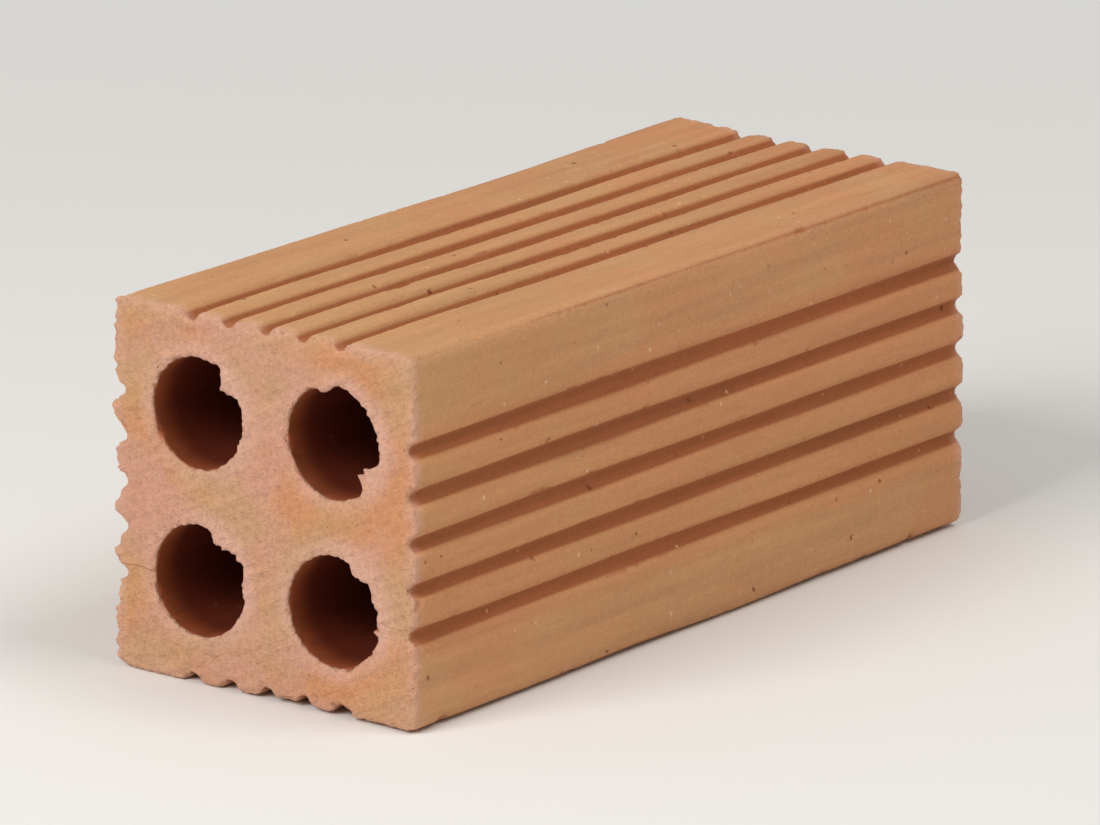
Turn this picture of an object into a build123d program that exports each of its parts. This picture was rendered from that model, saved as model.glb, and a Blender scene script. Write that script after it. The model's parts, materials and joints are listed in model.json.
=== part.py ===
from build123d import *
import os

# Fired clay brick with four round holes, all in millimetres.
# Wet clay is pressed through a die as one long column along X and cut across by wires, so the
# whole brick is one section: a square with rounded arrises, five grooves in each face and four
# round holes. It lies on one face, with the origin in the middle of that face and +Z up.

# Overall size, as fired
brick_length = 190.0
brick_width = 80.0
brick_height = 80.0
arris_radius = 2.5  # the die rounds the four long edges

# Round holes, two by two, running from end to end
hole_diameter = 24.0
hole_columns = 2
hole_rows = 2
web_thickness = 12.0  # clay between neighbouring holes

# Grooves along the middle of each long face, where mortar and plaster hold
grooves_per_face = 5
groove_pitch = 9.8
groove_mouth = 4.6
groove_floor = 1.6
groove_depth = 2.2
shoulder_radius = 0.8  # where a face turns down into a groove
root_radius = 0.6  # where a groove's flank meets its floor


def groove_cutter():
    """Section of one groove below the X axis, with softened shoulders and roots."""
    half_mouth = groove_mouth / 2
    half_floor = groove_floor / 2
    half_cutter = half_mouth + shoulder_radius
    outline = Polyline(
        (-half_cutter, groove_depth),
        (-half_cutter, 0),
        (-half_mouth, 0),
        (-half_floor, -groove_depth),
        (half_floor, -groove_depth),
        (half_mouth, 0),
        (half_cutter, 0),
        (half_cutter, groove_depth),
        close=True,
    )
    cutter = make_face(outline)
    roots = cutter.vertices().group_by(Axis.Y)[0]
    cutter = fillet(roots, root_radius)
    shoulders = cutter.vertices().group_by(Axis.Y)[-2].sort_by(Axis.X)[1:-1]
    return fillet(shoulders, shoulder_radius)


def grooves():
    """The grooves of all four faces, each row turned to its face of the section."""
    cutter = groove_cutter()
    row = GridLocations(groove_pitch, 0, grooves_per_face, 1)
    cutters = []
    for turn, reach in ((0, brick_height), (90, brick_width), (180, brick_height), (270, brick_width)):
        face = Rot(0, 0, turn) * Pos(0, reach / 2)
        cutters += [face * place * cutter for place in row]
    return cutters


def holes():
    """The round holes, centred in the section."""
    pitch = hole_diameter + web_thickness
    grid = GridLocations(pitch, pitch, hole_columns, hole_rows)
    return [place * Circle(hole_diameter / 2) for place in grid]


def die_section():
    """What the die presses out: the clay between the outline and the holes."""
    outline = RectangleRounded(brick_width, brick_height, arris_radius)
    return outline - grooves() - holes()


def clay_brick():
    """The section pushed along X, from one wire cut to the next, lying on its lower face."""
    first_cut = Plane.YZ.offset(-brick_length / 2)
    column = extrude(first_cut * die_section(), brick_length)
    return Pos(0, 0, brick_height / 2) * column


os.makedirs("parts", exist_ok=True)
export_step(clay_brick(), "parts/clay_brick.step")
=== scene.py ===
import json
import math

import bpy
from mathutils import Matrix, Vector


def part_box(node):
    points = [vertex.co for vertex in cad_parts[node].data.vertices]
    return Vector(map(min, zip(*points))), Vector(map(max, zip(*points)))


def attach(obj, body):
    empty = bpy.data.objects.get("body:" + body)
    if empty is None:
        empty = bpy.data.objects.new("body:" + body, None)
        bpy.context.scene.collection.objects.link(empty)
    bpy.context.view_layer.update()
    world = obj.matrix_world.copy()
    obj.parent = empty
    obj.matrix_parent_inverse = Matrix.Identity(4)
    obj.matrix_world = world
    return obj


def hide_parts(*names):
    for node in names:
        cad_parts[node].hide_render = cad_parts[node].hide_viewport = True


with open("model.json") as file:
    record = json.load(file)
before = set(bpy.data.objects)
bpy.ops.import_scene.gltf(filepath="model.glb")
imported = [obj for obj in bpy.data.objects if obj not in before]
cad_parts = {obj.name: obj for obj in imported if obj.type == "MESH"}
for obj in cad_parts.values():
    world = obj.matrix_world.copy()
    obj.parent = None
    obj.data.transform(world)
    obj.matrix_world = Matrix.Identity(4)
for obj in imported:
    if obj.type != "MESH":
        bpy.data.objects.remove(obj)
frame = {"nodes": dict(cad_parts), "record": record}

bl_info = {
    "name": "Fired clay brick with four holes",
    "version": (1, 0, 0),
    "blender": (4, 5, 0),
    "location": "View3D > Sidebar > Brick",
    "description": "Dresses an extruded, wire-cut and fired clay brick, and stands it on a pale floor",
    "category": "Object",
}

MM = 0.001
NODE = "clay_brick"
PIECE = "fired_brick"
LOW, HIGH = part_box(NODE)
MIDDLE = (LOW + HIGH) / 2
HALF = (HIGH - LOW) / 2
BORES = [mount for mount in frame["record"]["mounts"] if mount["kind"] == "bore"]
BORE_RADIUS = BORES[0]["dims"]["r_mm"] * MM
LOW_BORE = min(bore["pos_m"][2] for bore in BORES)
BORE_PLACE = (0, max(bore["pos_m"][1] for bore in BORES), MIDDLE.z - LOW_BORE)
BACKGROUND = 0.8  # how bright the background looks, where 1 is the floor's own colour
FADE_START = 0.2  # metres from the brick, where the floor begins to fade into the background
FADE_END = 0.8  # and where it has done so
FLOOR_WIDTH = 8  # metres
FLOOR_GAP = 0.1 * MM  # keeps the floor clear of the brick's underside
LAMP_WIDTH = 0.9  # metres, which keeps the shadows soft
ALONG_DIE = (0.06, 1, 1)  # stretches a pattern along X, the way that the clay left the die
NOISE_LOW = 0.3  # nearly all values of a noise texture lie between these two
NOISE_HIGH = 0.7
# The low places that these marks find get painted shade
MARK_ROUNDS = 4  # mesh steps round a point that the marks of wear compare it with
WIRE_SLOPE = math.radians(25)  # the wires went through both ends towards +Y and a little down
WIRE = (0, math.cos(WIRE_SLOPE), -math.sin(WIRE_SLOPE))

# Lumps of clay that the wires smeared over the holes' rims, and one tear: the end and the hole by their
# signs along X, Y and Z, degrees up from -Y round the rim, then half the width and the reach in mm
LUMPS = (
    (-1, 1, 1, 42, 4.2, 2.8),
    (-1, -1, 1, -32, 4.4, 3.2),
    (-1, -1, 1, 100, 3.0, 1.2),
    (-1, 1, -1, 62, 4.0, 2.2),
    (-1, 1, -1, 24, 2.6, -0.8),
    (-1, -1, -1, 55, 3.4, 1.6),
    (1, 1, 1, 5, 4.0, 2.6),
    (1, -1, 1, 60, 3.6, 2.0),
    (1, 1, -1, 48, 4.4, 3.0),
    (1, -1, -1, -15, 3.2, 1.6),
)


def linear(hex_colour):
    """An sRGB hex colour as linear red, green, blue and full alpha."""
    channels = [int(hex_colour[i : i + 2], 16) / 255 for i in (1, 3, 5)]
    return (*[c / 12.92 if c <= 0.04045 else ((c + 0.055) / 1.055) ** 2.4 for c in channels], 1.0)


class BrickSettings(bpy.types.PropertyGroup):
    """Sizes of the relief that cutting, drying and firing leave on the brick."""

    scan_step: bpy.props.FloatProperty(
        name="Mesh step",
        description="Spacing of the mesh that the relief is shaped on",
        default=0.55 * MM,
        unit="LENGTH",
    )
    triangle_limit: bpy.props.IntProperty(
        name="Triangles",
        description="Triangles left in the finished brick",
        default=190000,
    )
    warp: bpy.props.FloatProperty(
        name="Kiln warp",
        description="How far the faces sink between their highest places",
        default=0.9 * MM,
        unit="LENGTH",
    )
    burr: bpy.props.FloatProperty(
        name="Rim burr",
        description="How far torn clay reaches into a hole's mouth, apart from the biggest lumps",
        default=2.0 * MM,
        unit="LENGTH",
    )
    fringe: bpy.props.FloatProperty(
        name="Edge fringe",
        description="How far clay is drawn out past the edge where the wire left it",
        default=1.6 * MM,
        unit="LENGTH",
    )
    chip: bpy.props.FloatProperty(
        name="Edge chip",
        description="How deep the worn places on the edges are",
        default=1.0 * MM,
        unit="LENGTH",
    )


class ClaySettings(bpy.types.PropertyGroup):
    """Colours of the fired clay, some of them painted shade in the grooves, low places, scratches, pits,
    pores, cracks and holes.
    """

    skin: bpy.props.StringProperty(
        name="Die skin", description="Long faces, smoothed by the die", default="#cc8e62"
    )
    skin_warm: bpy.props.StringProperty(
        name="Warm blotches", description="Where the fire reached the skin most", default="#c97f57"
    )
    skin_buff: bpy.props.StringProperty(
        name="Buff blotches", description="Where the skin fired paler and yellower", default="#ca9666"
    )
    dust: bpy.props.StringProperty(
        name="Dust",
        description="Yellowish kiln dust on the flat margins, the top and parts of the ends",
        default="#c89f70",
    )
    cut: bpy.props.StringProperty(
        name="Cut clay", description="Wire-cut ends, open and rough", default="#d39d85"
    )
    cut_warm: bpy.props.StringProperty(
        name="Warm cut clay", description="Patches on the ends away from the edges", default="#d08f5c"
    )
    bloom: bpy.props.StringProperty(
        name="Bloom", description="Pale salts along the edges and rims", default="#dcac98"
    )
    # Painted shade: this colour darkens the grooves, the low places on the ends and the die scratches in
    # place of the shade that falls in them; in the grooves it is also the deeper red of clay that nothing
    # rubs
    hollow_tint_and_shade: bpy.props.StringProperty(
        name="Hollows", description="In the grooves and wherever nothing rubs", default="#a1582f"
    )
    # The hole walls' redder clay, darkened further with painted shade
    bore: bpy.props.StringProperty(
        name="Hole walls", description="Just inside the holes, redder than outside", default="#98441e"
    )
    # Painted shade, which darkens the hole walls more and more from the mouths inward
    bore_shade: bpy.props.StringProperty(
        name="Deep in the holes",
        description="Where the fire starved and the clay went dark",
        default="#64220c",
    )
    # Painted shade in the open pores, the pits and the hairline cracks
    pit_and_crack_shade: bpy.props.StringProperty(
        name="Dark grit", description="Iron specks and open pores", default="#7a3d25"
    )
    grit_pale: bpy.props.StringProperty(
        name="Pale grit", description="Sand and lime specks", default="#ecd0b4"
    )


class StageSettings(bpy.types.PropertyGroup):
    """The camera, the lamps and the floor."""

    azimuth: bpy.props.FloatProperty(
        name="Azimuth",
        description="Turn of the view about the brick",
        default=math.radians(-52),
        unit="ROTATION",
    )
    elevation: bpy.props.FloatProperty(
        name="Elevation", description="Height of the view", default=math.radians(16), unit="ROTATION"
    )
    distance: bpy.props.FloatProperty(
        name="Distance", description="From the camera to the brick", default=2.1, unit="LENGTH"
    )
    lens: bpy.props.FloatProperty(
        name="Lens", description="Focal length in millimetres on a 36 mm sensor", default=325.0
    )
    floor: bpy.props.StringProperty(name="Floor", description="Plain pale floor", default="#f1efeb")
    key_power: bpy.props.FloatProperty(
        name="Key lamp",
        description="Power of the wide lamp that lights the cut end",
        default=20.3,
        unit="POWER",
    )
    fill_power: bpy.props.FloatProperty(
        name="Fill lamp",
        description="Power of the wide lamp high on the other side",
        default=12.0,
        unit="POWER",
    )
    sky: bpy.props.FloatProperty(
        name="Sky", description="Strength of the even light from all round", default=0.40
    )


def deselect_all():
    """Nothing stays selected or active from the step before."""
    for thing in list(bpy.context.selected_objects):
        thing.select_set(False)


def activate(thing):
    """Make one object the only selected and the active one."""
    deselect_all()
    thing.select_set(True)
    bpy.context.view_layer.objects.active = thing


def apply_modifier(piece, kind, **settings):
    """Add a modifier with its settings and apply it at once."""
    activate(piece)
    modifier = piece.modifiers.new(kind.lower(), kind)
    for name, value in settings.items():
        setattr(modifier, name, value)
    bpy.ops.object.modifier_apply(modifier=modifier.name)


def add_node(tree, kind, inputs=None, **settings):
    """Add a node with its settings; an input is a value or an output socket to link.

    Inputs go by name or by number. Map Range has its value at 0, the range that it comes from at 1
    and 2, and the range that it goes to at 3 and 4. Mix has its share at 0 and two colours at 6 and 7.
    """
    made = tree.nodes.new(kind)
    for name, value in settings.items():
        setattr(made, name, value)
    for key, value in (inputs or {}).items():
        if isinstance(value, bpy.types.NodeSocket):
            tree.links.new(value, made.inputs[key])
        else:
            made.inputs[key].default_value = value
    return made


def places(tree, place):
    """Work out from a point's place which part of the brick it is on, as a dict of sockets.

    The section is alike in its four quarters, so a point is folded into one of them first.
    """
    offset = add_node(
        tree, "ShaderNodeVectorMath", {0: place, 1: MIDDLE}, operation="SUBTRACT"
    ).outputs[0]
    quarter = add_node(tree, "ShaderNodeVectorMath", {0: offset}, operation="ABSOLUTE").outputs[0]
    inset = add_node(
        tree, "ShaderNodeVectorMath", {0: HALF, 1: quarter}, operation="SUBTRACT"
    ).outputs[0]
    from_end, across, upright = add_node(tree, "ShaderNodeSeparateXYZ", {0: inset}).outputs
    from_face = add_node(
        tree, "ShaderNodeMath", {0: across, 1: upright}, operation="MINIMUM"
    ).outputs[0]
    from_arris = add_node(
        tree, "ShaderNodeMath", {0: across, 1: upright}, operation="MAXIMUM"
    ).outputs[0]
    section = add_node(
        tree, "ShaderNodeVectorMath", {0: quarter, 1: (0, 1, 1)}, operation="MULTIPLY"
    ).outputs[0]
    reach = add_node(
        tree, "ShaderNodeVectorMath", {0: section, 1: BORE_PLACE}, operation="DISTANCE"
    ).outputs["Value"]
    from_bore = add_node(
        tree, "ShaderNodeMath", {0: reach, 1: BORE_RADIUS}, operation="SUBTRACT"
    ).outputs[0]
    off_wall = add_node(tree, "ShaderNodeMath", {0: from_bore}, operation="ABSOLUTE").outputs[0]
    near_side = add_node(
        tree, "ShaderNodeMath", {0: from_face, 1: off_wall}, operation="MINIMUM"
    ).outputs[0]
    corner = add_node(tree, "ShaderNodeCombineXYZ", {0: from_end, 1: near_side}).outputs[0]
    from_lip = add_node(tree, "ShaderNodeVectorMath", {0: corner}, operation="LENGTH").outputs["Value"]
    to_left = add_node(tree, "ShaderNodeSeparateXYZ", {0: offset}).outputs[1]
    # Each share runs from 0 at the first distance to 1 at the second
    found = {"from_bore": from_bore}
    for name, distance, start, end in (
        ("cut", from_end, 1.3 * MM, 0.6 * MM),
        ("bore", from_bore, 1.0 * MM, 0.3 * MM),
        ("skin", from_face, 5.0 * MM, 4.0 * MM),
        ("groove", from_face, 0.9 * MM, 1.6 * MM),
        ("margin", from_arris, 17 * MM, 14 * MM),
        ("arris", from_arris, 5.0 * MM, 2.0 * MM),
        ("ring", from_bore, 6.0 * MM, 0.5 * MM),
        ("fringe_end", from_end, 2.2 * MM, 0.6 * MM),
        ("fringe_side", to_left, HALF.y - 2.0 * MM, HALF.y - 0.9 * MM),
        ("mouth_end", from_end, 4.0 * MM, 0.6 * MM),
        ("mouth_wall", from_bore, 1.8 * MM, 0.4 * MM),
        ("lip", from_lip, 4.5 * MM, 0.5 * MM),
        ("deep", from_end, 0.5 * MM, 9 * MM),
    ):
        found[name] = add_node(
            tree,
            "ShaderNodeMapRange",
            {0: distance, 1: start, 2: end},
            interpolation_type="SMOOTHSTEP",
        ).outputs[0]
    found["uncut"] = add_node(
        tree, "ShaderNodeMath", {0: 1.0, 1: found["cut"]}, operation="SUBTRACT"
    ).outputs[0]
    found["inward"], found["leaving"] = wire_side(tree, offset, section)
    # Each of these is where two of the shares above meet
    for name, first, second in (
        ("skin", "skin", "uncut"),
        ("groove", "groove", "skin"),
        ("margin", "margin", "skin"),
        ("mouth", "mouth_end", "mouth_wall"),
        ("torn", "mouth", "leaving"),
        ("fringe", "fringe_end", "fringe_side"),
        ("ring", "ring", "leaving"),
        ("ring", "ring", "cut"),
        ("wall", "bore", "uncut"),
    ):
        found[name] = add_node(
            tree, "ShaderNodeMath", {0: found[first], 1: found[second]}, operation="MULTIPLY"
        ).outputs[0]
    return found


def wire_side(tree, offset, section):
    """The way from a point to its hole's axis, and how far the wire went from clay into the hole there."""
    to_axis = add_node(
        tree, "ShaderNodeVectorMath", {0: BORE_PLACE, 1: section}, operation="SUBTRACT"
    ).outputs[0]
    to_axis = add_node(tree, "ShaderNodeVectorMath", {0: to_axis}, operation="NORMALIZE").outputs[0]
    side = add_node(tree, "ShaderNodeVectorMath", {0: offset}, operation="SIGN").outputs[0]
    inward = add_node(
        tree, "ShaderNodeVectorMath", {0: to_axis, 1: side}, operation="MULTIPLY"
    ).outputs[0]
    along_wire = add_node(
        tree, "ShaderNodeVectorMath", {0: inward, 1: WIRE}, operation="DOT_PRODUCT"
    ).outputs["Value"]
    leaving = add_node(
        tree,
        "ShaderNodeMapRange",
        {0: along_wire, 1: -0.1, 2: 0.8, 3: 0.05, 4: 1.0},
        interpolation_type="SMOOTHSTEP",
    ).outputs[0]
    return inward, leaving


def kiln_warp(tree, place, depth):
    """Slow hollows that drying and firing leave in the faces, 50 mm and more across.

    The clay moves towards the brick's middle, most at the faces and hardly at all by the holes. What lies
    side by side moves alike, so the grooves stay as straight and as wide as the die made them.
    """
    along = add_node(
        tree, "ShaderNodeVectorMath", {0: place, 1: (0.5, 1, 1)}, operation="MULTIPLY"
    ).outputs[0]
    waves = add_node(tree, "ShaderNodeTexNoise", {"Vector": along, "Scale": 1 / (50 * MM), "Detail": 1.0})
    sunk = add_node(
        tree, "ShaderNodeMapRange", {0: waves.outputs[0], 1: NOISE_LOW, 2: NOISE_HIGH, 3: -depth, 4: 0.0}
    ).outputs[0]
    offset = add_node(
        tree, "ShaderNodeVectorMath", {0: place, 1: MIDDLE}, operation="SUBTRACT"
    ).outputs[0]
    reach = add_node(tree, "ShaderNodeVectorMath", {0: offset, 1: HALF}, operation="DIVIDE").outputs[0]
    # The third power keeps the holes in place, and the ends sink a third as far as the long faces
    outward = (0.3, 1, 1)
    for _ in range(3):
        outward = add_node(
            tree, "ShaderNodeVectorMath", {0: reach, 1: outward}, operation="MULTIPLY"
        ).outputs[0]
    return add_node(
        tree, "ShaderNodeVectorMath", {0: outward, "Scale": sunk}, operation="SCALE"
    ).outputs[0]


def uneven(tree, place, size, detail, roughness, height):
    """Noise of that size, which mostly stays within that height above and below the surface."""
    noise = add_node(
        tree,
        "ShaderNodeTexNoise",
        {"Vector": place, "Scale": 1 / size, "Detail": detail, "Roughness": roughness},
    )
    return add_node(
        tree,
        "ShaderNodeMapRange",
        {0: noise.outputs[0], 1: NOISE_LOW, 2: NOISE_HIGH, 3: -height, 4: height},
        clamp=False,
    ).outputs[0]


def die_streaks(tree, place, height):
    """Streaks along X from the die's lips, some 4 mm apart with finer ones between."""
    along = add_node(
        tree, "ShaderNodeVectorMath", {0: place, 1: ALONG_DIE}, operation="MULTIPLY"
    ).outputs[0]
    return uneven(tree, along, size=4 * MM, detail=3.0, roughness=0.65, height=height)


def wire_drag(tree, place, height):
    """Lines that the wire scraped across the cut ends on its way, 1.6 mm apart."""
    level = add_node(
        tree, "ShaderNodeVectorRotate", {"Vector": place, "Angle": WIRE_SLOPE}, rotation_type="X_AXIS"
    ).outputs[0]
    along = add_node(
        tree, "ShaderNodeVectorMath", {0: level, 1: (1, 0.07, 1)}, operation="MULTIPLY"
    ).outputs[0]
    return uneven(tree, along, size=1.6 * MM, detail=3.0, roughness=0.6, height=height)


def torn_grain(tree, place, height):
    """Open grain where clay tore instead of being sliced, 1.5 mm across with finer crumbs on it."""
    return uneven(tree, place, size=1.5 * MM, detail=4.0, roughness=0.65, height=height)


def sand(tree, place, height):
    """The finest grain that shows, 0.5 mm across; real clay is finer still."""
    return uneven(tree, place, size=0.5 * MM, detail=2.0, roughness=0.75, height=height)


def bites(tree, place, height):
    """Places where an edge broke away, a few millimetres long and far between: 0 elsewhere."""
    where = add_node(
        tree,
        "ShaderNodeTexNoise",
        {"Vector": place, "Scale": 1 / (8 * MM), "Detail": 4.0, "Roughness": 0.62},
    )
    return add_node(
        tree,
        "ShaderNodeMapRange",
        {0: where.outputs[0], 1: 0.56, 2: 0.70, 3: 0.0, 4: height},
        interpolation_type="SMOOTHSTEP",
    ).outputs[0]


def specks(tree, place, spacing, largest, share, height):
    """Ragged specks of many sizes at random, in that share of the places: 0 between them."""
    ragged = add_node(tree, "ShaderNodeTexNoise", {"Vector": place, "Scale": 1.2 / largest, "Detail": 2.0})
    ragged = add_node(
        tree,
        "ShaderNodeVectorMath",
        {0: ragged.outputs[1], 1: (1.4 * largest,) * 3, 2: place},
        operation="MULTIPLY_ADD",
    ).outputs[0]
    cells = add_node(tree, "ShaderNodeTexVoronoi", {"Vector": ragged, "Scale": 1 / spacing})
    chance = add_node(tree, "ShaderNodeSeparateXYZ", {0: cells.outputs["Color"]}).outputs[0]
    radius = add_node(
        tree, "ShaderNodeMapRange", {0: chance, 1: 1 - share, 2: 1.0, 3: 0.0, 4: largest / spacing}
    ).outputs[0]
    inside = add_node(
        tree, "ShaderNodeMath", {0: radius, 1: cells.outputs["Distance"]}, operation="SUBTRACT"
    ).outputs[0]
    return add_node(
        tree,
        "ShaderNodeMapRange",
        {0: inside, 1: 0.0, 2: 0.5 * largest / spacing, 3: 0.0, 4: height},
        interpolation_type="SMOOTHSTEP",
    ).outputs[0]


def pits(tree, place, height):
    """Holes that dragged or burnt out grains leave, up to 1.8 mm across."""
    return specks(tree, place, spacing=5 * MM, largest=0.9 * MM, share=0.5, height=height)


def pores(tree, place, height):
    """Open pores, most of them on the cut ends, up to 0.8 mm across; real ones are finer too."""
    # Each pattern of this kind is moved by a step of its own, so that no two fall on the same places
    moved = add_node(tree, "ShaderNodeVectorMath", {0: place, 1: (0.07, 0.13, 0.43)}).outputs[0]
    return specks(tree, moved, spacing=2.4 * MM, largest=0.4 * MM, share=0.6, height=height)


def grains(tree, place, height):
    """Grains of sand that stand out a little, up to 1.2 mm across."""
    moved = add_node(tree, "ShaderNodeVectorMath", {0: place, 1: (0.31, 0.17, 0.23)}).outputs[0]
    return specks(tree, moved, spacing=3.5 * MM, largest=0.6 * MM, share=0.6, height=height)


def scratches(tree, place, height):
    """Short scratches along X where the die dragged a grain with it, 1 mm wide and up to 20 mm long."""
    along = add_node(
        tree, "ShaderNodeVectorMath", {0: place, 1: ALONG_DIE}, operation="MULTIPLY"
    ).outputs[0]
    return specks(tree, along, spacing=6 * MM, largest=0.7 * MM, share=0.5, height=height)


def crumbs(tree, place, height):
    """Crumbs of clay that the wire pushed over the holes' mouths, up to 3 mm across."""
    moved = add_node(tree, "ShaderNodeVectorMath", {0: place, 1: (0.11, 0.29, 0.37)}).outputs[0]
    return specks(tree, moved, spacing=6 * MM, largest=1.7 * MM, share=0.3, height=height)


def cracks(tree, place, height):
    """Hairlines that drying opened between the lower holes and the long sides, a few millimetres deep."""
    at = add_node(tree, "ShaderNodeSeparateXYZ", {0: place}).outputs
    wander = add_node(tree, "ShaderNodeTexNoise", {"Vector": place, "Scale": 1 / (6 * MM), "Detail": 3.0})
    level = add_node(
        tree,
        "ShaderNodeMapRange",
        {0: wander.outputs[0], 1: NOISE_LOW, 2: NOISE_HIGH, 3: LOW_BORE - 0.8 * MM, 4: LOW_BORE + 1.0 * MM},
        clamp=False,
    ).outputs[0]
    off = add_node(tree, "ShaderNodeMath", {0: at[2], 1: level}, operation="SUBTRACT").outputs[0]
    off = add_node(tree, "ShaderNodeMath", {0: off}, operation="ABSOLUTE").outputs[0]
    line = add_node(
        tree, "ShaderNodeMapRange", {0: off, 1: 0.22 * MM, 2: 0.05 * MM, 3: 0.0, 4: height}
    ).outputs[0]
    side = add_node(tree, "ShaderNodeMath", {0: at[1]}, operation="ABSOLUTE").outputs[0]
    fainter = add_node(
        tree, "ShaderNodeMapRange", {0: at[1], 1: -HALF.y, 2: HALF.y, 3: 0.4, 4: 1.0}
    ).outputs[0]
    line = add_node(tree, "ShaderNodeMath", {0: line, 1: fainter}, operation="MULTIPLY").outputs[0]
    outside = add_node(
        tree, "ShaderNodeMapRange", {0: side, 1: HALF.y - 12 * MM, 2: HALF.y - 9 * MM}
    ).outputs[0]
    end = add_node(tree, "ShaderNodeMath", {0: at[0]}, operation="ABSOLUTE").outputs[0]
    shallow = add_node(
        tree, "ShaderNodeMapRange", {0: end, 1: HALF.x - 7 * MM, 2: HALF.x - 1 * MM}
    ).outputs[0]
    here = add_node(tree, "ShaderNodeMath", {0: outside, 1: shallow}, operation="MULTIPLY").outputs[0]
    return add_node(tree, "ShaderNodeMath", {0: line, 1: here}, operation="MULTIPLY").outputs[0]


def lumps(tree, place):
    """How far the biggest lumps on the rims reach into the holes."""
    reach = 0.0
    for end, side, level, degrees, half_width, most in LUMPS:
        turn = math.radians(degrees)
        centre = Vector(
            (
                end * HALF.x,
                side * BORE_PLACE[1] - BORE_RADIUS * math.cos(turn),
                level * BORE_PLACE[2] + BORE_RADIUS * math.sin(turn),
            )
        )
        away = add_node(
            tree, "ShaderNodeVectorMath", {0: place, 1: centre + MIDDLE}, operation="DISTANCE"
        ).outputs["Value"]
        lump = add_node(
            tree,
            "ShaderNodeMapRange",
            {0: away, 1: half_width * MM, 2: 0.2 * half_width * MM, 3: 0.0, 4: most * MM},
            interpolation_type="SMOOTHSTEP",
        ).outputs[0]
        reach = add_node(tree, "ShaderNodeMath", {0: lump, 1: reach}, operation="ADD").outputs[0]
    ragged = add_node(tree, "ShaderNodeTexNoise", {"Vector": place, "Scale": 1 / (2 * MM), "Detail": 2.0})
    ragged = add_node(
        tree, "ShaderNodeMapRange", {0: ragged.outputs[0], 1: NOISE_LOW, 2: NOISE_HIGH, 3: 0.6, 4: 1.4}
    ).outputs[0]
    return add_node(tree, "ShaderNodeMath", {0: reach, 1: ragged}, operation="MULTIPLY").outputs[0]


def torn_rim(tree, place, height):
    """Clay that the wire smeared into a hole's mouth, in small patches along the rim."""
    lump = add_node(
        tree,
        "ShaderNodeTexNoise",
        {"Vector": place, "Scale": 1 / (6 * MM), "Detail": 2.0, "Roughness": 0.45},
    )
    lump = add_node(
        tree, "ShaderNodeMapRange", {0: lump.outputs[0], 1: 0.48, 2: 0.68, 3: 0.0, 4: height}
    ).outputs[0]
    patch = add_node(tree, "ShaderNodeTexNoise", {"Vector": place, "Scale": 1 / (14 * MM), "Detail": 0.0})
    patch = add_node(
        tree, "ShaderNodeMapRange", {0: patch.outputs[0], 1: 0.45, 2: 0.6, 3: 0.15, 4: 1.0}
    ).outputs[0]
    return add_node(tree, "ShaderNodeMath", {0: lump, 1: patch}, operation="MULTIPLY").outputs[0]


def drawn_out(tree, place, height):
    """Teeth of clay drawn out past an edge, some 3 mm wide and of every length up to that height."""
    teeth = add_node(tree, "ShaderNodeTexNoise", {"Vector": place, "Scale": 1 / (3 * MM), "Detail": 2.0})
    return add_node(
        tree, "ShaderNodeMapRange", {0: teeth.outputs[0], 1: 0.42, 2: 0.72, 3: 0.0, 4: height}
    ).outputs[0]


def bulge(tree, rounds, least, most):
    """How far a point stands out from the surface round it: 1 on an edge, 0 on a flat."""
    place = add_node(tree, "GeometryNodeInputPosition").outputs[0]
    normal = add_node(tree, "GeometryNodeInputNormal").outputs[0]
    around = add_node(
        tree, "GeometryNodeBlurAttribute", {"Value": place, "Iterations": rounds}, data_type="FLOAT_VECTOR"
    ).outputs[0]
    out = add_node(tree, "ShaderNodeVectorMath", {0: place, 1: around}, operation="SUBTRACT").outputs[0]
    out = add_node(
        tree, "ShaderNodeVectorMath", {0: out, 1: normal}, operation="DOT_PRODUCT"
    ).outputs["Value"]
    return add_node(tree, "ShaderNodeMapRange", {0: out, 1: least, 2: most}).outputs[0]


def new_geometry_tree(name):
    """An empty geometry node tree, with the mesh that comes in and the node that it leaves by."""
    tree = bpy.data.node_groups.new(name, "GeometryNodeTree")
    tree.interface.new_socket("Geometry", in_out="INPUT", socket_type="NodeSocketGeometry")
    tree.interface.new_socket("Geometry", in_out="OUTPUT", socket_type="NodeSocketGeometry")
    return tree, add_node(tree, "NodeGroupInput").outputs[0]


def smeared_rims(tree, place, where, burr):
    """How points in the holes move: the walls back to round, and burrs and lumps in from the rims."""
    # The solid's mesh has flat strips in the holes, which this moves back to the true radius
    on_wall = add_node(
        tree, "ShaderNodeMapRange", {0: where["from_bore"], 1: 0.7 * MM, 2: 0.2 * MM}
    ).outputs[0]
    reach = add_node(
        tree, "ShaderNodeMath", {0: where["from_bore"], 1: on_wall}, operation="MULTIPLY"
    ).outputs[0]
    for clay, share in ((torn_rim(tree, place, burr), where["torn"]), (lumps(tree, place), where["mouth"])):
        reach = add_node(
            tree, "ShaderNodeMath", {0: clay, 1: share, 2: reach}, operation="MULTIPLY_ADD"
        ).outputs[0]
    return add_node(
        tree, "ShaderNodeVectorMath", {0: where["inward"], "Scale": reach}, operation="SCALE"
    ).outputs[0]


def toothed_edge(tree, place, where, fringe):
    """How the edge that the wire left by moves: teeth of clay, drawn out past it towards +Y."""
    teeth = add_node(
        tree,
        "ShaderNodeMath",
        {0: drawn_out(tree, place, fringe), 1: where["fringe"]},
        operation="MULTIPLY",
    ).outputs[0]
    return add_node(tree, "ShaderNodeCombineXYZ", {1: teeth}).outputs[0]


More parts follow.
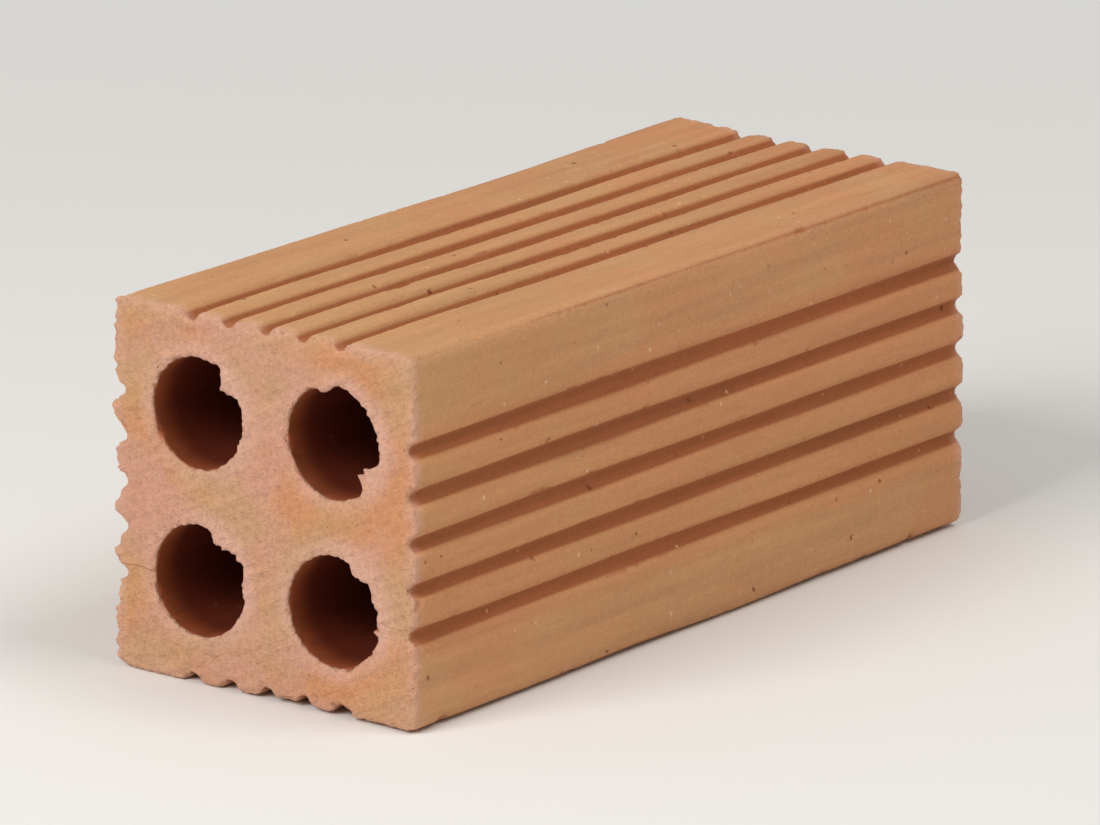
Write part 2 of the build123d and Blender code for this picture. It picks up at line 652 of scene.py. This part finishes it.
def relief(sizes):
    """Geometry nodes that move each point by what cutting, drying, firing and handling did there."""
    tree, mesh = new_geometry_tree("relief")
    place = add_node(tree, "GeometryNodeInputPosition").outputs[0]
    normal = add_node(tree, "GeometryNodeInputNormal").outputs[0]
    where = places(tree, place)
    cut = where["cut"]
    skin = where["skin"]
    edge = bulge(tree, rounds=8, least=0.06 * MM, most=0.4 * MM)
    wide_edge = bulge(tree, rounds=40, least=0.15 * MM, most=0.9 * MM)
    along_normal = (
        (die_streaks(tree, place, 0.05 * MM), skin),
        (torn_grain(tree, place, 0.14 * MM), cut),
        (wire_drag(tree, place, 0.10 * MM), cut),
        (pits(tree, place, -0.7 * MM), cut),
        (pores(tree, place, -0.3 * MM), cut),
        (pits(tree, place, -0.35 * MM), skin),
        (grains(tree, place, 0.25 * MM), cut),
        (scratches(tree, place, -0.2 * MM), skin),
        (torn_grain(tree, place, 0.2 * MM), edge),
        (torn_grain(tree, place, 0.12 * MM), where["mouth"]),
        (-0.25 * MM, edge),
        (bites(tree, place, -sizes.chip), wide_edge),
        (crumbs(tree, place, 0.9 * MM), where["torn"]),
    )
    rise = 0.0
    for pattern, share in along_normal:
        rise = add_node(
            tree, "ShaderNodeMath", {0: pattern, 1: share, 2: rise}, operation="MULTIPLY_ADD"
        ).outputs[0]
    move = add_node(
        tree, "ShaderNodeVectorMath", {0: normal, "Scale": rise}, operation="SCALE"
    ).outputs[0]
    for more in (
        smeared_rims(tree, place, where, sizes.burr),
        toothed_edge(tree, place, where, sizes.fringe),
        kiln_warp(tree, place, sizes.warp),
    ):
        move = add_node(tree, "ShaderNodeVectorMath", {0: move, 1: more}, operation="ADD").outputs[0]
    moved = add_node(tree, "GeometryNodeSetPosition", {"Geometry": mesh, "Offset": move}).outputs[0]
    add_node(tree, "NodeGroupOutput", {0: moved})
    return tree


def proud_and_sunk_marks():
    """Geometry nodes that write down where the finished surface stands out, and where it lies low."""
    tree, mesh = new_geometry_tree("proud_and_sunk_marks")
    for name, least, most in (("proud", 0.03 * MM, 0.35 * MM), ("sunk", -0.03 * MM, -0.35 * MM)):
        mesh = add_node(
            tree,
            "GeometryNodeStoreNamedAttribute",
            {"Geometry": mesh, "Name": name, "Value": bulge(tree, MARK_ROUNDS, least, most)},
            data_type="FLOAT",
            domain="POINT",
        ).outputs[0]
    add_node(tree, "NodeGroupOutput", {0: mesh})
    return tree


def blank_of_clay():
    """A merged copy of the brick's solid, which the relief is shaped on."""
    solid = frame["nodes"][NODE]
    piece = bpy.data.objects.new(PIECE, solid.data.copy())
    bpy.context.scene.collection.objects.link(piece)
    activate(piece)
    bpy.ops.object.mode_set(mode="EDIT")
    bpy.ops.mesh.select_all(action="SELECT")
    bpy.ops.mesh.remove_doubles(threshold=0.01 * MM)
    bpy.ops.object.mode_set(mode="OBJECT")
    return piece


class BRICK_OT_fire(bpy.types.Operator):
    """Shape the fired brick on its solid, with burrs, worn edges and clay colours"""

    bl_idname = "brick.fire"
    bl_label = "Fired brick"

    def execute(self, context):
        sizes = context.scene.brick_sizes
        piece = blank_of_clay()
        apply_modifier(piece, "REMESH", mode="VOXEL", voxel_size=sizes.scan_step, adaptivity=0.0)
        apply_modifier(piece, "NODES", node_group=relief(sizes))
        apply_modifier(piece, "SMOOTH", factor=0.4, iterations=1)
        triangles = 2 * len(piece.data.polygons)
        apply_modifier(piece, "DECIMATE", ratio=min(1.0, sizes.triangle_limit / triangles))
        apply_modifier(piece, "NODES", node_group=proud_and_sunk_marks())
        activate(piece)
        bpy.ops.object.shade_smooth()
        piece.data.materials.clear()
        piece.data.materials.append(fired_clay(context.scene.clay_colours))
        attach(piece, "root")
        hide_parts(NODE)
        return {"FINISHED"}


def patches(tree, place, size, detail, start, full):
    """Soft patches of that size: 0 where the noise is under start, 1 where it is over full."""
    noise = add_node(tree, "ShaderNodeTexNoise", {"Vector": place, "Scale": 1 / size, "Detail": detail})
    return add_node(tree, "ShaderNodeMapRange", {0: noise.outputs[0], 1: start, 2: full}).outputs[0]


def rubbing_and_shade(tree, where):
    """Where the surface is rubbed, where it lies low and gets painted shade, from the marks on the mesh,
    and where it isn't in a hole.
    """
    edges = add_node(
        tree, "ShaderNodeMath", {0: where["arris"], 1: where["lip"]}, operation="MAXIMUM"
    ).outputs[0]
    open_air = add_node(tree, "ShaderNodeMath", {0: 1.0, 1: where["wall"]}, operation="SUBTRACT").outputs[0]
    proud, sunk = [
        add_node(tree, "ShaderNodeAttribute", attribute_name=name).outputs["Fac"]
        for name in ("proud", "sunk")
    ]
    # The low places on the ends, which get painted shade
    sunk = add_node(tree, "ShaderNodeMath", {0: sunk, 1: where["cut"]}, operation="MULTIPLY").outputs[0]
    proud = add_node(tree, "ShaderNodeMath", {0: proud, 1: edges}, operation="MULTIPLY").outputs[0]
    proud = add_node(tree, "ShaderNodeMath", {0: proud, 1: open_air}, operation="MULTIPLY").outputs[0]
    return {"open_air": open_air, "proud": proud, "sunk": sunk}


def coated(tree, place, where, colours):
    """The colour of the clay before its finest grain, in coats over the die skin."""
    cut = where["cut"]
    at = add_node(tree, "ShaderNodeSeparateXYZ", {0: place}).outputs
    blotch = patches(tree, place, size=55 * MM, detail=4.0, start=0.35, full=0.65)
    cloud = patches(tree, place, size=11 * MM, detail=4.0, start=0.35, full=0.65)
    warm = patches(tree, place, size=22 * MM, detail=3.0, start=0.45, full=0.6)
    warm_cut = add_node(tree, "ShaderNodeMath", {0: warm, 1: cut}, operation="MULTIPLY").outputs[0]
    open_pores = add_node(tree, "ShaderNodeMapRange", {0: cut, 3: 0.5, 4: 1.0}).outputs[0]
    open_pores = add_node(
        tree, "ShaderNodeMath", {0: pores(tree, place, 1.0), 1: open_pores}, operation="MULTIPLY"
    ).outputs[0]
    moved = add_node(tree, "ShaderNodeVectorMath", {0: place, 1: (0.19, 0.41, 0.07)}).outputs[0]
    dusty = patches(tree, moved, size=20 * MM, detail=4.0, start=0.44, full=0.6)
    dusty_cut = add_node(tree, "ShaderNodeMath", {0: dusty, 1: cut}, operation="MULTIPLY").outputs[0]
    top = add_node(
        tree, "ShaderNodeMapRange", {0: at[2], 1: HIGH.z - 1.8 * MM, 2: HIGH.z - 1.0 * MM}
    ).outputs[0]
    flat = add_node(tree, "ShaderNodeMath", {0: where["margin"], 1: top}, operation="MAXIMUM").outputs[0]
    dusty_flat = add_node(tree, "ShaderNodeMapRange", {0: dusty, 3: 0.45, 4: 1.0}).outputs[0]
    dusty_flat = add_node(tree, "ShaderNodeMath", {0: dusty_flat, 1: flat}, operation="MULTIPLY").outputs[0]
    patchy_lip = add_node(
        tree, "ShaderNodeMath", {0: where["lip"], 1: cloud}, operation="MULTIPLY"
    ).outputs[0]
    far = add_node(
        tree, "ShaderNodeMapRange", {0: at[0], 1: -0.4 * HALF.x, 2: 1.1 * HALF.x, 3: 0.0, 4: 0.35}
    ).outputs[0]
    in_bore = add_node(
        tree, "ShaderNodeMath", {0: where["wall"], 1: where["deep"]}, operation="MULTIPLY"
    ).outputs[0]
    sandy = add_node(
        tree, "ShaderNodeMath", {0: grains(tree, place, 1.0), 1: where["open_air"]}, operation="MULTIPLY"
    ).outputs[0]
    # From the body outwards: where each coat lies, its colour and how much it hides
    coats = (
        (blotch, colours.skin_buff, 0.7),
        (far, colours.skin_warm, 1.0),
        (dusty_flat, colours.dust, 0.45),
        # Painted shade in the grooves, over the deeper red of their clay
        (where["groove"], colours.hollow_tint_and_shade, 0.8),
        (cut, colours.cut, 0.92),
        (warm_cut, colours.cut_warm, 0.7),
        (dusty_cut, colours.dust, 0.55),
        (patchy_lip, colours.bloom, 0.6),
        (where["ring"], colours.bloom, 0.7),
        # Painted shade in the low places on the ends
        (where["sunk"], colours.hollow_tint_and_shade, 0.5),
        (where["proud"], colours.bloom, 0.35),
        # The redder clay of the hole walls, darkened with painted shade
        (where["wall"], colours.bore, 0.9),
        # Painted shade, deepening from the mouths into the holes
        (in_bore, colours.bore_shade, 0.95),
        (sandy, colours.grit_pale, 0.45),
        # Painted shade in the die scratches
        (scratches(tree, place, 1.0), colours.hollow_tint_and_shade, 0.35),
        # Painted shade in the open pores, the pits and the hairline cracks
        (open_pores, colours.pit_and_crack_shade, 0.6),
        (pits(tree, place, 1.0), colours.pit_and_crack_shade, 0.8),
        (cracks(tree, place, 1.0), colours.pit_and_crack_shade, 0.6),
    )
    body = linear(colours.skin)
    for coat, colour, strength in coats:
        share = add_node(tree, "ShaderNodeMath", {0: coat, 1: strength}, operation="MULTIPLY").outputs[0]
        body = add_node(
            tree, "ShaderNodeMix", {0: share, 6: body, 7: linear(colour)}, data_type="RGBA"
        ).outputs[2]
    return body


def finest_grain(tree, place, where):
    """The tone and the height of what is too fine for the mesh; heights are in metres."""
    cut = where["cut"]
    coarse = add_node(tree, "ShaderNodeMath", {0: cut, 1: where["proud"]}, operation="MAXIMUM").outputs[0]
    pressed = add_node(
        tree, "ShaderNodeMath", {0: where["skin"], 1: where["wall"]}, operation="MAXIMUM"
    ).outputs[0]
    # Each pattern changes the tone from faint to strong and the height from least to most by its share
    tone = 1.0
    height = 0.0
    for pattern, share, faint, strong, least, most in (
        (torn_grain(tree, place, 1.0), coarse, 0.04, 0.09, 0.015 * MM, 0.14 * MM),
        (sand(tree, place, 1.0), coarse, 0.08, 0.11, 0.03 * MM, 0.09 * MM),
        (die_streaks(tree, place, 1.0), pressed, 0.0, 0.09, 0.0, 0.03 * MM),
        (wire_drag(tree, place, 1.0), cut, 0.0, 0.05, 0.0, 0.10 * MM),
    ):
        shade = add_node(tree, "ShaderNodeMapRange", {0: share, 3: faint, 4: strong}).outputs[0]
        tone = add_node(
            tree, "ShaderNodeMath", {0: pattern, 1: shade, 2: tone}, operation="MULTIPLY_ADD"
        ).outputs[0]
        rise = add_node(tree, "ShaderNodeMapRange", {0: share, 3: least, 4: most}).outputs[0]
        height = add_node(
            tree, "ShaderNodeMath", {0: pattern, 1: rise, 2: height}, operation="MULTIPLY_ADD"
        ).outputs[0]
    return tone, height


def fired_clay(colours):
    """Common brick clay, pressed through a die, wire-cut and fired in a tunnel kiln: dry, open and matte.

    The die skin is smooth and warm, the cut ends are rougher and paler, the holes stay redder, and salts
    that dried out last leave a pale bloom along edges and rims. Painted shade darkens the grooves, the low
    places on the ends, the scratches, pores, pits and cracks, and the holes more and more from their mouths
    inward.
    """
    material = bpy.data.materials.new("fired_clay")
    material.use_nodes = True
    tree = material.node_tree
    tree.nodes.clear()
    place = add_node(tree, "ShaderNodeTexCoord").outputs["Object"]
    where = places(tree, place)
    where.update(rubbing_and_shade(tree, where))
    body = coated(tree, place, where, colours)
    tone, height = finest_grain(tree, place, where)
    body = add_node(
        tree, "ShaderNodeMix", {0: 1.0, 6: body, 7: tone}, data_type="RGBA", blend_type="MULTIPLY"
    ).outputs[2]
    normal = add_node(
        tree, "ShaderNodeBump", {"Height": height, "Strength": 1.0, "Distance": 1.0}
    ).outputs["Normal"]
    rough = add_node(tree, "ShaderNodeMapRange", {0: where["cut"], 3: 0.84, 4: 0.96}).outputs[0]
    shader = add_node(
        tree,
        "ShaderNodeBsdfPrincipled",
        {"Base Color": body, "Roughness": rough, "IOR": 1.45, "Specular IOR Level": 0.3, "Normal": normal},
    )
    add_node(tree, "ShaderNodeOutputMaterial", {"Surface": shader.outputs["BSDF"]})
    return material


def looked_at(tree):
    """1 for a ray from the camera, a mirror or glass, and 0 for light on its way to the brick."""
    path = add_node(tree, "ShaderNodeLightPath").outputs
    seen = path["Is Camera Ray"]
    for name in ("Is Glossy Ray", "Is Transmission Ray"):
        seen = add_node(tree, "ShaderNodeMath", {0: seen, 1: path[name]}, operation="MAXIMUM").outputs[0]
    return seen


def pale_floor(colour):
    """Plain painted board, matte, so that it only carries the brick's shadow.

    Far from the brick it is seen to fade to the same even tone as the background.
    """
    material = bpy.data.materials.new("pale_floor")
    material.use_nodes = True
    tree = material.node_tree
    tree.nodes.clear()
    board = add_node(
        tree,
        "ShaderNodeBsdfPrincipled",
        {"Base Color": linear(colour), "Roughness": 0.9, "Specular IOR Level": 0.2},
    ).outputs["BSDF"]
    haze = add_node(
        tree, "ShaderNodeEmission", {"Color": linear(colour), "Strength": BACKGROUND}
    ).outputs["Emission"]
    place = add_node(tree, "ShaderNodeTexCoord").outputs["Object"]
    away = add_node(tree, "ShaderNodeVectorMath", {0: place}, operation="LENGTH").outputs["Value"]
    far = add_node(
        tree,
        "ShaderNodeMapRange",
        {0: away, 1: FADE_START, 2: FADE_END},
        interpolation_type="SMOOTHSTEP",
    ).outputs[0]
    far = add_node(tree, "ShaderNodeMath", {0: far, 1: looked_at(tree)}, operation="MULTIPLY").outputs[0]
    surface = add_node(tree, "ShaderNodeMixShader", {0: far, 1: board, 2: haze}).outputs[0]
    add_node(tree, "ShaderNodeOutputMaterial", {"Surface": surface})
    return material


def pale_world(colour, strength):
    """Even light from all round, which is seen as a pale background."""
    world = bpy.data.worlds.new("studio")
    world.use_nodes = True
    tree = world.node_tree
    tree.nodes.clear()
    strength = add_node(
        tree, "ShaderNodeMapRange", {0: looked_at(tree), 3: strength, 4: BACKGROUND}
    ).outputs[0]
    light = add_node(tree, "ShaderNodeBackground", {"Color": linear(colour), "Strength": strength})
    add_node(tree, "ShaderNodeOutputWorld", {"Surface": light.outputs[0]})
    return world


def view_direction(azimuth, elevation):
    """From the brick towards a viewer; azimuth 0 looks along +Y."""
    return Vector(
        (
            math.sin(azimuth) * math.cos(elevation),
            -math.cos(azimuth) * math.cos(elevation),
            math.sin(elevation),
        )
    )


def aim(thing, target):
    """Turn a lamp or camera so that it looks at a point."""
    thing.rotation_euler = (target - thing.location).to_track_quat("-Z", "Y").to_euler()


def wide_lamp(name, power, azimuth, elevation, distance):
    """A square soft box that lights the brick from so many degrees round it and above it."""
    lamp = bpy.data.lights.new(name, "AREA")
    lamp.size = LAMP_WIDTH
    lamp.energy = power
    thing = bpy.data.objects.new(name, lamp)
    bpy.context.scene.collection.objects.link(thing)
    towards = view_direction(math.radians(azimuth), math.radians(elevation))
    thing.location = MIDDLE + distance * towards
    aim(thing, MIDDLE)


class BRICK_OT_stage(bpy.types.Operator):
    """Stand the brick on a pale floor, with soft lamps and the camera"""

    bl_idname = "brick.stage"
    bl_label = "Stage"

    def execute(self, context):
        stage = context.scene.brick_stage
        deselect_all()
        bpy.ops.mesh.primitive_plane_add(size=FLOOR_WIDTH, location=(0, 0, LOW.z - FLOOR_GAP))
        floor = context.object
        floor.name = "floor"
        floor.data.materials.append(pale_floor(stage.floor))
        wide_lamp("key_lamp", stage.key_power, azimuth=-98, elevation=36, distance=1.8)
        wide_lamp("fill_lamp", stage.fill_power, azimuth=12, elevation=58, distance=2.0)
        context.scene.world = pale_world(stage.floor, stage.sky)
        camera = bpy.data.objects.new("camera", bpy.data.cameras.new("camera"))
        context.scene.collection.objects.link(camera)
        camera.data.lens = stage.lens
        camera.data.clip_start = 0.05
        camera.location = MIDDLE + stage.distance * view_direction(stage.azimuth, stage.elevation)
        aim(camera, MIDDLE)
        context.scene.camera = camera
        context.scene.view_settings.view_transform = "Standard"
        return {"FINISHED"}


class BRICK_PT_panel(bpy.types.Panel):
    """Lists the brick's operators in the sidebar"""

    bl_label = "Fired clay brick"
    bl_space_type = "VIEW_3D"
    bl_region_type = "UI"
    bl_category = "Brick"

    def draw(self, context):
        for operator in (BRICK_OT_stage, BRICK_OT_fire):
            self.layout.operator(operator.bl_idname)
        for group in (context.scene.brick_sizes, context.scene.clay_colours, context.scene.brick_stage):
            for name in group.__annotations__:
                self.layout.prop(group, name)


CLASSES = (BrickSettings, ClaySettings, StageSettings, BRICK_OT_fire, BRICK_OT_stage, BRICK_PT_panel)


def register():
    for one in CLASSES:
        bpy.utils.register_class(one)
    bpy.types.Scene.brick_sizes = bpy.props.PointerProperty(type=BrickSettings)
    bpy.types.Scene.clay_colours = bpy.props.PointerProperty(type=ClaySettings)
    bpy.types.Scene.brick_stage = bpy.props.PointerProperty(type=StageSettings)


def unregister():
    del bpy.types.Scene.brick_sizes
    del bpy.types.Scene.clay_colours
    del bpy.types.Scene.brick_stage
    for one in reversed(CLASSES):
        bpy.utils.unregister_class(one)


def main():
    """Build the stage and the brick."""
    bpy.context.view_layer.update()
    register()
    bpy.ops.brick.stage()
    bpy.ops.brick.fire()


if __name__ == "__main__":
    main()
